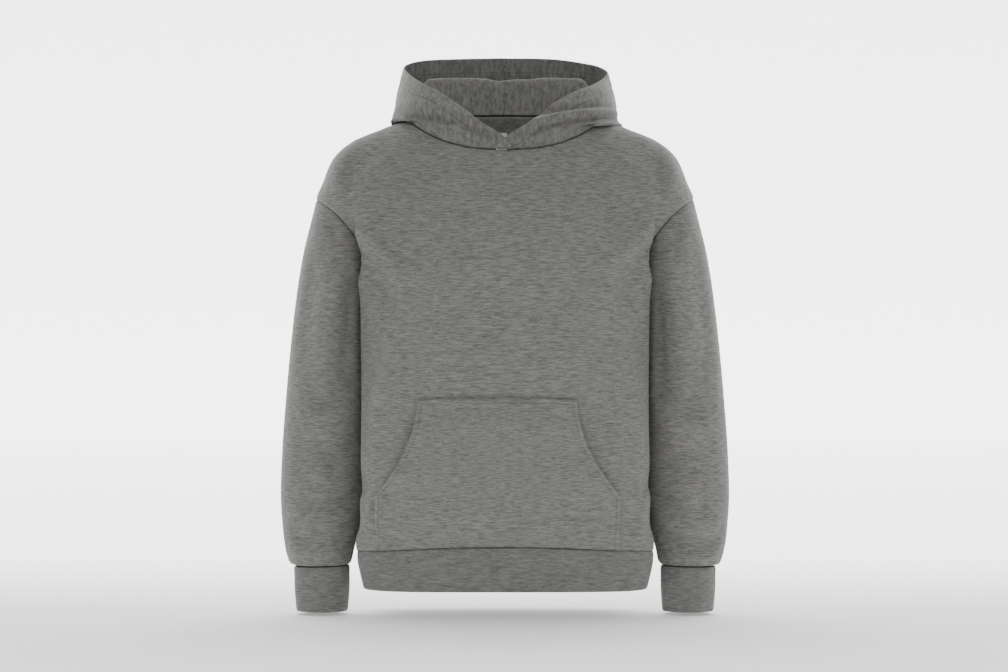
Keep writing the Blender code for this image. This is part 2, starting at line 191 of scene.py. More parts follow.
def panel(across, up, facing):
    """A point of the front or back panel: across -1 to 1, up from the hem seam (0), past the
    armpit (1), to the neckline and shoulder seam (2)."""
    inner = np.clip(np.abs(across) / CREST_SHARE, 0, 1)
    outer = np.clip((np.abs(across) - CREST_SHARE) / (1 - CREST_SHARE), 0, 1)
    low, high = np.clip(up, 0, 1), np.clip(up - 1, 0, 1)
    level = mix(HEM_SEAM_Z, ARMPIT_Z, low)
    low_x = inner * side("fold", level)
    low_z = level + (1 - low) * (hem_height(low_x) - HEM_SEAM_Z)
    on_ridge, top_x, ridge_z = top_edge(inner, 0 * outer)
    top_z = np.where(on_ridge, ridge_z, neck_height(top_x, facing))
    over = smooth(0.3, NECK_SHARE, inner)
    rising = mix(high, np.sin(math.pi / 2 * high), over)
    x = np.where(up > 1, mix(low_x, top_x, rising), low_x)
    z = np.where(up > 1, mix(low_z, top_z, rising), low_z)
    place = np.stack([x, depth(x, z, facing), z], -1)

    seam = np.stack([side("seam", level), 0 * level + SIDE_Y, low_z], -1)
    edge = np.where((up > 1)[..., None], armhole(high, facing), seam)
    hollow = side("hollow", level) * np.sin(math.pi * outer) * (1 - smooth(0, 0.5, high))
    wrapped = mix(place, edge, outer[..., None])
    wrapped[..., 0] -= hollow
    turn_x = body("half_width", SHOULDER_TURN_Z)
    _, tip_x, tip_z = top_edge(1 + 0 * outer, outer)
    end = armhole(1.0, facing)
    lift = high**1.5
    wrapped[..., 0] += (tip_x - mix(turn_x, end[0], outer)) * lift
    wrapped[..., 2] += (tip_z - mix(SHOULDER_TURN_Z, end[2], outer)) * lift
    round_cap = SHOULDER_CAP * np.sin(math.pi * outer) * np.sin(math.pi * high) ** 2
    wrapped[..., 0] += CAP_WAY[0] * round_cap
    wrapped[..., 1] += facing * CAP_WAY[1] * round_cap
    place = np.where((outer > 0)[..., None], wrapped, place)
    place[..., 0] *= np.where(across < 0, -1, 1)
    return place


def laid_out(name, columns, rows):
    """A flat grid to shape, with each point's share across and up it."""
    bpy.ops.object.select_all(action="DESELECT")
    bpy.ops.mesh.primitive_grid_add(x_subdivisions=columns, y_subdivisions=rows, size=1)
    piece = bpy.context.object
    piece.name = piece.data.name = name
    flat = np.empty(3 * len(piece.data.vertices), np.float32)
    piece.data.vertices.foreach_get("co", flat)
    flat = flat.reshape(-1, 3)
    order = np.lexsort((flat[:, 0].round(5), flat[:, 1].round(5)))
    shape = (rows + 1, columns + 1)
    across, up = flat[order, 0].reshape(shape) + 0.5, flat[order, 1].reshape(shape) + 0.5
    return piece, order, across.astype(float), up.astype(float)


def raised(points, lift, tube=False):
    """Points moved out along the cloth by lift, in millimetres."""
    along = np.gradient(points, axis=1)
    if tube:
        along[:, 0] = along[:, -1] = (points[:, 1] - points[:, -2]) / 2
    normal = np.cross(along, np.gradient(points, axis=0))
    normal /= np.maximum(np.linalg.norm(normal, axis=-1, keepdims=True), 1e-9)
    return points + normal * lift[..., None]


def from_edges(points):
    """Distance in millimetres from the left, right, lower and upper edge of a sheet."""

    def run(sheet, axis):
        steps = np.linalg.norm(np.diff(sheet, axis=axis), axis=-1)
        gone = np.cumsum(steps, axis=axis)
        return np.concatenate([np.zeros_like(np.take(gone, [0], axis)), gone], axis)

    across, up = run(points, 1), run(points, 0)
    return across, across[:, -1:] - across, up, up[-1:] - up


def folds(x, z, strokes):
    """Soft ridges (lift above 0) and troughs (below 0) along bowed strokes."""
    total = np.zeros(x.shape)
    t = np.linspace(0, 1, 9)
    for x0, z0, x1, z1, x2, z2, width, lift in strokes:
        px = (1 - t) ** 2 * x0 + 2 * t * (1 - t) * x1 + t * t * x2
        pz = (1 - t) ** 2 * z0 + 2 * t * (1 - t) * z1 + t * t * z2
        nearest, where = np.full(x.shape, 1e9), np.zeros(x.shape)
        for k in range(8):
            dx, dz = px[k + 1] - px[k], pz[k + 1] - pz[k]
            s = np.clip(((x - px[k]) * dx + (z - pz[k]) * dz) / (dx * dx + dz * dz), 0, 1)
            off = np.hypot(x - px[k] - s * dx, z - pz[k] - s * dz)
            closer = off < nearest
            nearest = np.where(closer, off, nearest)
            where = np.where(closer, (k + s) / 8, where)
        total += lift * np.exp(-((nearest / width) ** 2)) * (1 - (2 * where - 1) ** 4)
    return total


def ripple(at, step, seed):
    """Uneven small gathers along a seam, between about -1 and 1."""
    wave = np.sin(2 * math.pi * at / step + seed)
    wave += 0.7 * np.sin(2 * math.pi * at / (step * 1.618) + 2.1 * seed)
    wave += 0.5 * np.sin(2 * math.pi * at / (step * 0.71) + 0.7 * seed)
    return wave * (0.75 + 0.25 * np.sin(2 * math.pi * at / (step * 7.3) + seed)) / 2


def sewn(distance):
    """The cloth dips into a seam and stands a little proud beside it."""
    return 0.3 * np.exp(-(((distance - 6) / 3) ** 2)) - 0.7 * np.exp(-((distance / 1.8) ** 2))


def blouse(distance):
    """The body swells a little over the hem seam, this far above it."""
    swell, middle, half = HEM_BLOUSE
    return swell * np.exp(-(((distance - middle) / half) ** 2))


def heather(name, colour, streak_scale, contrast=0.85):
    """Brushed heather jersey: streaks of lighter and darker fibre, a soft nap and stitch lines."""
    material = bpy.data.materials.new(name)
    material.use_nodes = True
    nodes, links = material.node_tree.nodes, material.node_tree.links
    surface = nodes["Principled BSDF"]
    surface.inputs["Roughness"].default_value = 0.92
    surface.inputs["Specular IOR Level"].default_value = 0.25
    surface.inputs["Sheen Weight"].default_value = 0.18
    surface.inputs["Sheen Roughness"].default_value = 0.45
    place = nodes.new("ShaderNodeTexCoord").outputs["Object"]

    def noise(scale, detail, rough=0.5):
        mapping = nodes.new("ShaderNodeMapping")
        mapping.inputs["Scale"].default_value = scale
        links.new(place, mapping.inputs["Vector"])
        texture = nodes.new("ShaderNodeTexNoise")
        texture.inputs["Scale"].default_value = 1
        texture.inputs["Detail"].default_value = detail
        texture.inputs["Roughness"].default_value = rough
        links.new(mapping.outputs["Vector"], texture.inputs["Vector"])
        return texture.outputs["Fac"]

    def maths(operation, first, second):
        node = nodes.new("ShaderNodeMath")
        node.operation = operation
        for socket, value in zip(node.inputs, (first, second)):
            if isinstance(value, (int, float)):
                socket.default_value = value
            else:
                links.new(value, socket)
        return node.outputs["Value"]

    streaks = noise(streak_scale, 3, 0.6)
    flecks = noise(tuple(3.1 * s for s in streak_scale), 2)
    clouds = noise((14, 14, 20), 2)
    nap = noise((900, 900, 900), 3, 0.7)
    tone = maths("ADD", maths("MULTIPLY", streaks, contrast * 2.2), 1 - contrast * 1.1)
    tone = maths("ADD", tone, maths("MULTIPLY", maths("SUBTRACT", flecks, 0.5), contrast * 1.1))
    tone = maths("ADD", tone, maths("MULTIPLY", maths("SUBTRACT", clouds, 0.5), 0.14))

    stitch = nodes.new("ShaderNodeAttribute")
    stitch.attribute_name = "stitch"
    off_line = maths("ABSOLUTE", stitch.outputs["Fac"], 0)
    line = maths("SUBTRACT", 1, maths("MINIMUM", maths("MULTIPLY", off_line, 1 / 1.3), 1))
    tone = maths("SUBTRACT", tone, maths("MULTIPLY", line, 0.16))
    scale = nodes.new("ShaderNodeVectorMath")
    scale.operation = "SCALE"
    scale.inputs[0].default_value = colour
    links.new(tone, scale.inputs["Scale"])
    links.new(scale.outputs["Vector"], surface.inputs["Base Color"])

    height = maths("ADD", maths("MULTIPLY", nap, 0.6), maths("MULTIPLY", streaks, 0.5))
    height = maths("SUBTRACT", height, maths("MULTIPLY", line, 1.2))
    bump = nodes.new("ShaderNodeBump")
    bump.inputs["Strength"].default_value = 0.55
    bump.inputs["Distance"].default_value = 0.0006
    links.new(height, bump.inputs["Height"])
    links.new(bump.outputs["Normal"], surface.inputs["Normal"])
    return material


BODY_COLOUR = (0.178, 0.177, 0.168)
jersey_body = heather("jersey_body", BODY_COLOUR, (80, 80, 620))


def make_cloth(piece, order, points, material, tube=False, stitch=None, thickness=CLOTH, inward=1):
    """Sets the shaped points, closes a tube and gives the sheet its thickness."""
    placed = np.empty((points.shape[0] * points.shape[1], 3), np.float32)
    placed[order] = points.reshape(-1, 3) * MM
    piece.data.vertices.foreach_set("co", placed.ravel())
    marks = np.full(len(order), NO_STITCH, np.float32)
    if stitch is not None:
        marks[order] = stitch.ravel()
    piece.data.attributes.new("stitch", "FLOAT", "POINT").data.foreach_set("value", marks)
    piece.data.update()
    if tube:
        weld = piece.modifiers.new("close", "WELD")
        weld.merge_threshold = 0.00001
        bpy.ops.object.modifier_apply(modifier=weld.name)
    solid = piece.modifiers.new("thickness", "SOLIDIFY")
    solid.thickness = thickness * MM
    solid.offset = -inward
    bpy.ops.object.modifier_apply(modifier=solid.name)
    piece.data.shade_smooth()
    piece.data.materials.append(material)
    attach(piece, "root")
    return piece


FRONT_FOLDS = (
    # from the armpits over the chest
    (-208, -150, -170, -176, -128, -226, 12, 4.0),
    (-214, -178, -182, -206, -150, -262, 9, -4.0),
    (-206, -214, -180, -250, -158, -318, 11, 3.2),
    (208, -146, 172, -168, 136, -214, 12, 3.8),
    (212, -176, 186, -200, 158, -250, 9, -4.0),
    (206, -208, 184, -246, 166, -300, 11, 3.0),
    # the standing ridges that run down beside the pocket
    (-140, -270, -176, -350, -196, -500, 8, 2.8),
    (-124, -286, -158, -372, -182, -480, 11, -2.2),
    (146, -270, 180, -356, 197, -500, 8, 2.8),
    (130, -290, 166, -380, 184, -490, 11, -2.2),
    # shoulders, from the neck outward
    (-128, -26, -168, -48, -214, -112, 13, 2.4),
    (-112, -52, -150, -84, -186, -140, 12, -2.0),
    (126, -28, 170, -52, 212, -108, 13, 2.4),
    (110, -56, 148, -90, 182, -138, 12, -2.0),
    # soft hang below the hood's crossing
    (-14, -86, -26, -150, -58, -230, 20, 1.6),
    (10, -92, 34, -170, 44, -260, 22, 1.4),
    (-70, -80, -84, -150, -98, -224, 18, -1.8),
    (76, -84, 92, -160, 104, -232, 18, -1.6),
    (-96, -300, -70, -340, -60, -380, 24, 1.6),
    (88, -296, 66, -334, 50, -378, 24, 1.4),
    # low sides, blousing over the hem
    (-202, -520, -194, -556, -176, -584, 10, 2.6),
    (202, -512, 195, -550, 178, -582, 10, 2.6),
    (-190, -470, -200, -530, -204, -580, 8, -2.0),
    (190, -478, 199, -532, 204, -580, 8, -2.0),
)

RIDGE = table(
    # outside these standing ridges the front falls back towards the sleeves
    "height away fall",
    (-592, 201, 0),
    (-560, 198, 6),
    (-500, 186, 14),
    (-400, 172, 22),
    (-350, 160, 22),
    (-290, 147, 17),
    (-240, 138, 10),
    (-180, 138, 0),
)
piece, order, share_x, share_z = laid_out("front_panel", 212, 196)
front_across, front_up = share_x * 2 - 1, share_z * 2
points = panel(front_across, front_up, -1)
left, right, low, high = from_edges(points)
lift = 1.5 * folds(points[..., 0], points[..., 2], FRONT_FOLDS) * smooth(0, 14, np.minimum(left, right))
lift += 1.3 * ripple(points[..., 0], 23, 1.0) * np.exp(-((low / 20) ** 2)) * smooth(0, 5, low)
lift += blouse(low)
lift *= smooth(0, 10, high)
outside = np.abs(points[..., 0]) - curve(RIDGE["height"], RIDGE["away"], points[..., 2])
fall = curve(RIDGE["height"], RIDGE["fall"], points[..., 2]) * smooth(-6, 44, outside)
points[..., 1] += fall * smooth(8, -30, points[..., 1])
lift += sewn(np.minimum(np.minimum(left, right), low))
front = make_cloth(piece, order, raised(points, lift), jersey_body)
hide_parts("body_front")

# --- back panel -------------------------------------------------------------------------------
# The same cut as the front with a raised neck. Its creases fall from the shoulder blades and
# the armholes.

BACK_FOLDS = (
    (-206, -150, -166, -190, -120, -260, 13, 4.0),
    (-210, -184, -176, -226, -150, -300, 10, -3.6),
    (208, -156, 170, -186, 132, -246, 13, 3.8),
    (212, -180, 182, -218, 160, -290, 10, -3.6),
    (-110, -120, -124, -250, -140, -400, 18, 2.6),
    (104, -130, 120, -260, 132, -380, 18, 2.4),
    (-30, -150, -44, -280, -40, -430, 24, -2.2),
    (28, -160, 36, -300, 52, -460, 22, 2.0),
    (-190, -420, -178, -500, -160, -570, 11, 2.8),
    (192, -430, 182, -510, 158, -574, 11, 2.6),
    (-120, -500, -70, -540, -20, -552, 15, 2.2),
    (126, -510, 80, -546, 40, -556, 14, 2.0),
)

piece, order, share_x, share_z = laid_out("back_panel", 170, 168)
back_across, back_up = 1 - share_x * 2, share_z * 2
points = panel(back_across, back_up, 1)
left, right, low, high = from_edges(points)
lift = folds(points[..., 0], points[..., 2], BACK_FOLDS) * smooth(0, 14, np.minimum(left, right))
lift += 1.4 * ripple(points[..., 0], 25, 2.6) * np.exp(-((low / 20) ** 2)) * smooth(0, 5, low)
lift += blouse(low)
lift *= smooth(0, 10, high)
lift += sewn(np.minimum(np.minimum(left, right), low))
back = make_cloth(piece, order, raised(points, lift), jersey_body)
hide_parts("body_back")

# --- sleeves ----------------------------------------------------------------------------------
# Dropped shoulders. Each sleeve hangs straight beside the body, creases softly at the elbow and
# puffs out over its cuff, where it is gathered.

SLEEVE_COLUMNS = "down outer_x outer_z inner_x inner_z middle_y half_depth"
SLEEVE = table(
    SLEEVE_COLUMNS,
    (0.10, 278, -147, 189, -219, 7, 73),
    (0.18, 286, -180, 191.5, -242, 7, 73),
    (0.28, 295, -232, 197, -280, 8, 70),
    (0.40, 304, -305, 198.5, -335, 9, 64),
    (0.54, 312, -390, 198.5, -403, 10, 58),
    (0.68, 317.5, -465, 199, -470, 11, 55),
    (0.80, 319.5, -525, 200, -525, 11, 53),
    (0.89, 316.5, -575, 207, -573, 10, 49),
    (0.95, 312, -606, 214.5, -603, 9, 43),
    (0.985, 306.5, -621, 218, -618, 8, 37),
    (1.0, 300, -627, 221.5, -625.5, 8, 33),
)
ARMPIT_CLEAR = 2.3


def ring(sizes, down, turn):
    """A tube's ring, turn 0 on the outer side and growing towards the front."""
    read = {name: curve(sizes["down"], sizes[name], down) for name in sizes}
    x = mix(read["inner_x"], read["outer_x"], (1 + np.cos(turn)) / 2)
    z = mix(read["inner_z"], read["outer_z"], (1 + np.cos(turn)) / 2)
    return np.stack([x, read["middle_y"] - read["half_depth"] * np.sin(turn), z], -1)


def sleeve(down, turn):
    """A point of the sleeve, down from the armhole (0) to the cuff seam (1)."""
    share = 1 - np.abs((turn + math.pi) % (2 * math.pi) - math.pi) / math.pi
    in_front = (np.sin(turn) > 0)[..., None]
    start = np.where(in_front, armhole(share, -1), armhole(share, 1))
    start[..., 0] += ARMPIT_CLEAR * (1 - smooth(0, 0.5, share))
    first = float(SLEEVE["down"][0])
    follow = ring(SLEEVE, np.maximum(down, first), turn)
    reached = (down / first)[..., None]
    return np.where(reached < 1, mix(start, follow, np.clip(reached, 0, 1)), follow)


SLEEVE_FOLDS = {
    # degrees round from the outer side, millimetres down the arm
    -1: (
        (88, 30, 94, 130, 88, 260, 15, 3.6),
        (124, 60, 130, 150, 122, 250, 14, -3.0),
        (52, 70, 56, 160, 50, 240, 16, -2.0),
        (150, 230, 116, 262, 66, 268, 11, -3.0),
        (156, 262, 112, 290, 50, 286, 12, 2.8),
        (150, 330, 110, 352, 74, 342, 12, -2.6),
        (90, 330, 96, 380, 86, 430, 15, 2.4),
        (160, 392, 120, 412, 60, 400, 11, -3.0),
        (164, 418, 110, 440, 34, 424, 12, 3.4),
        (40, 446, 90, 462, 150, 448, 9, -3.0),
        (30, 470, 84, 484, 160, 470, 9, 3.0),
        (270, 60, 264, 180, 272, 300, 18, 3.2),
        (220, 240, 260, 272, 310, 262, 12, -3.2),
        (210, 300, 262, 322, 320, 308, 13, 2.8),
        (216, 410, 270, 432, 330, 418, 12, 3.2),
        (220, 440, 270, 456, 324, 446, 9, -3.0),
    ),
    1: (
        (92, 34, 100, 120, 86, 270, 15, 3.4),
        (126, 70, 134, 160, 128, 262, 14, -3.0),
        (50, 60, 58, 150, 54, 250, 16, -2.2),
        (148, 244, 110, 272, 70, 276, 11, -2.8),
        (154, 276, 108, 300, 54, 300, 12, 2.6),
        (152, 340, 108, 366, 80, 356, 12, -2.4),
        (88, 340, 92, 392, 96, 436, 15, 2.6),
        (158, 400, 116, 424, 64, 410, 11, -3.2),
        (160, 430, 108, 448, 40, 436, 12, 3.6),
        (36, 456, 88, 470, 146, 458, 9, -3.2),
        (34, 478, 90, 490, 156, 478, 9, 3.0),
        (268, 70, 262, 170, 270, 310, 18, 3.0),
        (222, 250, 262, 280, 312, 272, 12, -3.0),
        (212, 310, 266, 334, 318, 318, 13, 2.8),
        (218, 418, 272, 440, 328, 428, 12, 3.0),
        (222, 448, 268, 462, 326, 452, 9, -2.8),
    ),
}
SLEEVE_LENGTH = 500.0
SLEEVE_DEPTH = 1.7  # all its creases are this much deeper than their table says
SLEEVE_GATHERS = {-1: (21, 1.3), 1: (17, 2.0)}  # spacing and height at each cuff
# painted shade: the sleeves are the body's jersey coloured a little darker, for the shade they hang in
SLEEVE_SHADED_COLOUR = (0.170, 0.168, 0.158)
jersey_sleeve = heather("jersey_sleeve", SLEEVE_SHADED_COLOUR, (80, 80, 600))

for hand, wearer_side in ((-1, "right"), (1, "left")):
    piece, order, share_x, share_z = laid_out(f"{wearer_side}_sleeve", 140, 128)
    turn = 2 * math.pi * share_x * -hand
    points = sleeve(1 - share_z, turn)
    points[..., 0] *= hand
    _, _, low, high = from_edges(points)
    round_at = np.degrees(turn) % 360
    lift = SLEEVE_DEPTH * folds(round_at, (1 - share_z) * SLEEVE_LENGTH, SLEEVE_FOLDS[hand])
    lift *= smooth(0, 20, high) * smooth(0, 8, low)
    inner_side = smooth(120, 180, 180 - np.abs(round_at - 180))
    lift *= 1 - 0.7 * inner_side * smooth(60, 0, low)
    spacing, height = SLEEVE_GATHERS[hand]
    gathers = ripple(round_at, spacing, 1.0 + hand)
    lift += height * gathers * np.exp(-((low / 16) ** 2)) * smooth(0, 3, low)
    lift += sewn(np.minimum(low, high))
    sleeve_piece = make_cloth(piece, order, raised(points, lift, True), jersey_sleeve, tube=True)
    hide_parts(f"sleeve_{wearer_side}")

# --- cuffs ------------------------------------------------------------------------------------
# Doubled bands of the same jersey, cut narrower than the sleeve that is gathered into them.

CUFF = table(
    SLEEVE_COLUMNS,
    (0, 299.5, -628.4, 222, -626.9, 8, 32.5),
    (0.4, 299.5, -650, 221.5, -650, 7.5, 32.5),
    (1, 297, -691.5, 223.5, -691.5, 7, 32),
)
# painted shade: the bands are the body's jersey coloured darker, for the shade on the cuffs and hem
BAND_SHADED_COLOUR = (0.150, 0.149, 0.141)
jersey_band = heather("jersey_band", BAND_SHADED_COLOUR, (80, 80, 620), contrast=0.75)

for hand, wearer_side in ((-1, "right"), (1, "left")):
    piece, order, share_x, share_z = laid_out(f"{wearer_side}_cuff", 140, 30)
    turn = 2 * math.pi * share_x * -hand
    points = ring(CUFF, 1 - share_z, turn)
    points[..., 0] *= hand
    _, _, low, high = from_edges(points)
    round_at = np.degrees(turn) % 360
    lift = 0.8 * ripple(round_at, 19, 2.0 + hand) * np.exp(-((high / 14) ** 2))
    lift += 0.7 * ripple(round_at, 83, 1.0 + hand) * smooth(0, 30, low)
    lift += sewn(high) - 1.0 * np.exp(-((low / 2.2) ** 2))
    cuff = make_cloth(piece, order, raised(points, lift, True), jersey_band, tube=True)
    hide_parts(f"cuff_{wearer_side}")

# --- hem band ---------------------------------------------------------------------------------
# One doubled band all round, folded along its bottom edge and a little narrower than the body.

HEM_TUCK = 0.6  # the band sits this far inside the body where they are sewn
HEM_GAP = 0.3
HEM_GIRTH = 1030.0


def hem_band(across, down, facing):
    """A point of the hem band, down from its seam (0) to the bottom edge (1)."""
    inner = np.clip(np.abs(across) / CREST_SHARE, 0, 1)
    outer = np.clip((np.abs(across) - CREST_SHARE) / (1 - CREST_SHARE), 0, 1)
    level = mix(HEM_SEAM_Z - HEM_GAP, HEM_BOTTOM_Z, down)
    tuck = HEM_TUCK * (1 - smooth(0, 0.35, down))
    x = inner * (side("fold", level) - tuck)
    z = level + (1 - down) * (hem_height(x) - HEM_SEAM_Z)
    y = depth(inner * side("fold", level), level, facing) - facing * tuck
    x = mix(x, side("seam", level) - tuck, outer)
    y = mix(y, SIDE_Y, outer)
    return np.stack([x * np.where(across < 0, -1, 1), y, z], -1)


piece, order, share_x, share_z = laid_out("hem", 320, 26)
in_front = (share_x <= 0.5)[..., None]
front_side = hem_band(np.clip(share_x * 4 - 1, -1, 1), 1 - share_z, -1)
back_side = hem_band(np.clip(3 - share_x * 4, -1, 1), 1 - share_z, 1)
points = np.where(in_front, front_side, back_side)
points[:, -1] = points[:, 0]
_, _, low, high = from_edges(points)
lift = 0.7 * ripple(share_x * HEM_GIRTH, 27, 0.4) * np.exp(-((high / 16) ** 2))
lift += 1.0 * ripple(share_x * HEM_GIRTH, 140, 1.4) * smooth(0, 30, high)
lift *= smooth(0, 0.01, np.minimum(share_x, 1 - share_x))
lift += sewn(high) - 1.2 * np.exp(-((low / 2.4) ** 2))
hem = make_cloth(piece, order, raised(points, lift, True), jersey_band, tube=True)
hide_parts("hem_band")

# --- kangaroo pocket --------------------------------------------------------------------------
# One patch on the front, topstitched along its top, its low sides and its hem, with bowed hand
# openings whose turned edges stand off the front.

POCKET_MIDDLE_X = -10.5
POCKET_TOP_DROP = 2.5  # how much lower the top seam runs at its ends
POCKET_SLANT = 2.05  # power that bows the hand openings
POCKET_TOP_Z = -386.5
POCKET_TOP_HALF = 110.0
POCKET_BOTTOM_HALF = 168.5
POCKET_CORNER_Z = -522.0
POCKET_ROOM = 9.0  # how far the middle stands off the front
POCKET_LIFT = 2.2
POCKET_STITCH = 6.0  # in from the edge


def pocket(across, up):
    """A point of the pocket's inner face."""
    top = POCKET_TOP_Z - POCKET_TOP_DROP * across**2
    bottom = HEM_SEAM_Z + 1.0 - HEM_SIDE_DROP * (across * POCKET_BOTTOM_HALF / HEM_HALF) ** 2
    z = mix(bottom, top, up)
    drop = np.clip((POCKET_TOP_Z - z) / (POCKET_TOP_Z - POCKET_CORNER_Z), 0, 1)
    half = mix(POCKET_TOP_HALF, POCKET_BOTTOM_HALF, drop**POCKET_SLANT)
    x = POCKET_MIDDLE_X + across * half
    open_side = smooth(POCKET_CORNER_Z, POCKET_CORNER_Z + 30, z) * (1 - smooth(0.85, 1, up))
    room = POCKET_ROOM * mix(1, open_side, np.abs(across) ** 5)
    room = room * smooth(0, 0.22, up) * (1 - smooth(0.78, 1, up))
    return np.stack([x, depth(x, z, -1) - POCKET_LIFT - room, z], -1)


POCKET_FOLDS = (
    (-88, -588, -86, -560, -80, -520, 7, 1.6),
    (28, -588, 30, -556, 36, -500, 7, 1.6),
    (-40, -588, -44, -570, -46, -548, 8, -1.2),
    (84, -588, 88, -566, 90, -540, 8, -1.2),
    (-130, -470, -100, -500, -60, -510, 16, 1.8),
    (108, -470, 80, -500, 44, -512, 16, 1.8),
    (-30, -400, -24, -430, -10, -470, 20, -1.4),
)
piece, order, share_x, share_z = laid_out("pocket", 124, 84)
points = pocket(share_x * 2 - 1, share_z)
left, right, low, high = from_edges(points)
near = np.minimum(np.minimum(left, right), high)
lift = folds(points[..., 0], points[..., 2], POCKET_FOLDS) * smooth(0, 12, near)
lift += 1.0 * ripple(points[..., 0], 16, 3.0) * np.exp(-((low / 12) ** 2)) * smooth(0, 4, low)
lift += 0.5 * ripple(points[..., 0], 13, 1.0) * np.exp(-(((high - 5) / 6) ** 2))
lift -= 1.1 * np.exp(-((near / 2.0) ** 2)) + 0.8 * np.exp(-(((near - POCKET_STITCH) / 1.8) ** 2))
lift += 0.6 * np.exp(-(((near - 3.2) / 2) ** 2))
lift -= 0.8 * np.exp(-((low / 2.5) ** 2))
pocket_piece = make_cloth(
    piece, order, raised(points, lift), jersey_body, stitch=near - POCKET_STITCH, inward=-1
)
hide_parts("kangaroo_pocket")

# --- hood -------------------------------------------------------------------------------------
# Two panels seamed along the crown and centre back. Dropped back, each rises from the neck seam,
# rolls over a crest and folds down behind. The wearer's right panel crosses over the left one.

HOOD = table(
    "station turn crest_x crest_y crest_z low_x low_y low_z edge_x edge_y edge_z belly",
    (-0.3, -4, -9, -87, -39.5, -9, -89, -38.5, -9, -90, -37.5, 0),
    (0, 0, 0, -88, -39, 0, -91, -35, 0, -92, -26, 0),
    (1, 15, 36, -88, -34, 37, -93, -29, 35, -85, -2, 2),
    (2, 32, 70, -82, -22, 66, -89, -12, 62, -74, 19, 3),
    (3, 47.5, 101, -72, -12, 103, -76, -6, 92, -52, 41, 3),
    (4, 66, 128, -48, -1, 140, -43, 2, 119, -20, 58, 2),
    (5, 90, 142, 6, 10, 163, 14, 4, 138, 28, 75, 2),
    (6, 112, 131, 42, 32, 160, 68, -20, 146, 70, 88, 6),
    (7, 134, 107, 70, 70, 128, 110, -70, 128, 108, 101, 14),
    (8, 157, 56, 81, 72, 70, 132, -105, 72, 132, 107, 22),
    (9, 180, 0, 85, 69, 0, 138, -114, 0, 141, 109, 25),
    (10, 203, -56, 81, 72, -70, 132, -105, -72, 132, 107, 22),
)
HOOD_KNOTS = (0, 0.15, 0.32, 0.5, 0.75, 1)
HOOD_BASE_LIFT = 1.6
HOOD_MIDDLE_Y = 25.0  # the hood swells outward from here
HOOD_ENDS = (-0.3, 9.0)  # stations at the crossing and at the centre-back seam
CROSSING = {-1: 4.0, 1: -1.8}  # forward shift of the upper and the under layer
LEFT_DROOP = (7, 3)  # how much lower and wider the left panel lies
HOOD_HEM = 22.0  # width of the turned edge, in to its topstitching


def neck_loop(turn):
    """The neck seam, from centre front (0) to centre back (180 degrees)."""
    angle = np.radians(turn)
    x = NECK_HALF * np.sin(angle)
    ahead = np.cos(angle) > 0
    z = np.where(ahead, neck_height(x, -1), neck_height(x, 1))
    y = np.where(ahead, depth(x, z, -1), depth(x, z, 1))
    return np.stack([x, y, z + HOOD_BASE_LIFT], -1)


def hood_half(stations, rises, forward):
    """Rows of points of one hood panel, rise from the neck seam (0) to the open edge (1)."""
    neck = neck_loop(HOOD["turn"])
    crest, low, edge = (
        np.stack([HOOD[f"{name}_{axis}"] for axis in "xyz"], -1) for name in ("crest", "low", "edge")
    )
    outward = edge - np.array([0.0, HOOD_MIDDLE_Y, 0.0])
    outward[:, 2] = 0
    outward /= np.maximum(np.linalg.norm(outward, axis=-1, keepdims=True), 1)
    lay = mix(crest, low, 0.5)
    belly = mix(low, edge, 0.5) + outward * HOOD["belly"][:, None]
    sections = curve(HOOD_KNOTS, np.stack([neck, crest, lay, low, belly, edge]), rises)
    points = curve(HOOD["station"], np.moveaxis(sections, 1, 0), stations)
    near = 1 - smooth(6, 34, points[..., 0])
    points[..., 1] -= forward * near * (1 - smooth(0, 40, points[..., 1]))
    return np.moveaxis(points, 1, 0)


HOOD_FOLDS = {
    # seen from the front, on the roll that lies over the neck seam
    -1: (
        (-140, 8, -100, 2, -60, -3, 5.5, -6.5),
        (-72, -1, -46, -12, -14, -25, 5.5, -6.0),
        (-158, 30, -104, 22, -44, -5, 9, 4.0),
        (-150, 58, -122, 36, -92, 22, 8, 2.0),
    ),
    1: (
        (32, 4, 88, 20, 168, 27, 4.5, -6.0),
        (32, -20, 86, 1, 170, 9, 5.5, -7.5),
        (38, -8, 94, 11, 164, 18, 7, 5.0),
        (30, -30, 60, -18, 110, -8, 6, 2.5),
        (150, 58, 124, 42, 96, 36, 8, 2.0),
    ),
}
# painted shade: the hood is the body's jersey coloured darker, for the shade over and inside it
jersey_hood = heather("jersey_hood", (0.152, 0.150, 0.141), (210, 210, 60), contrast=0.7)

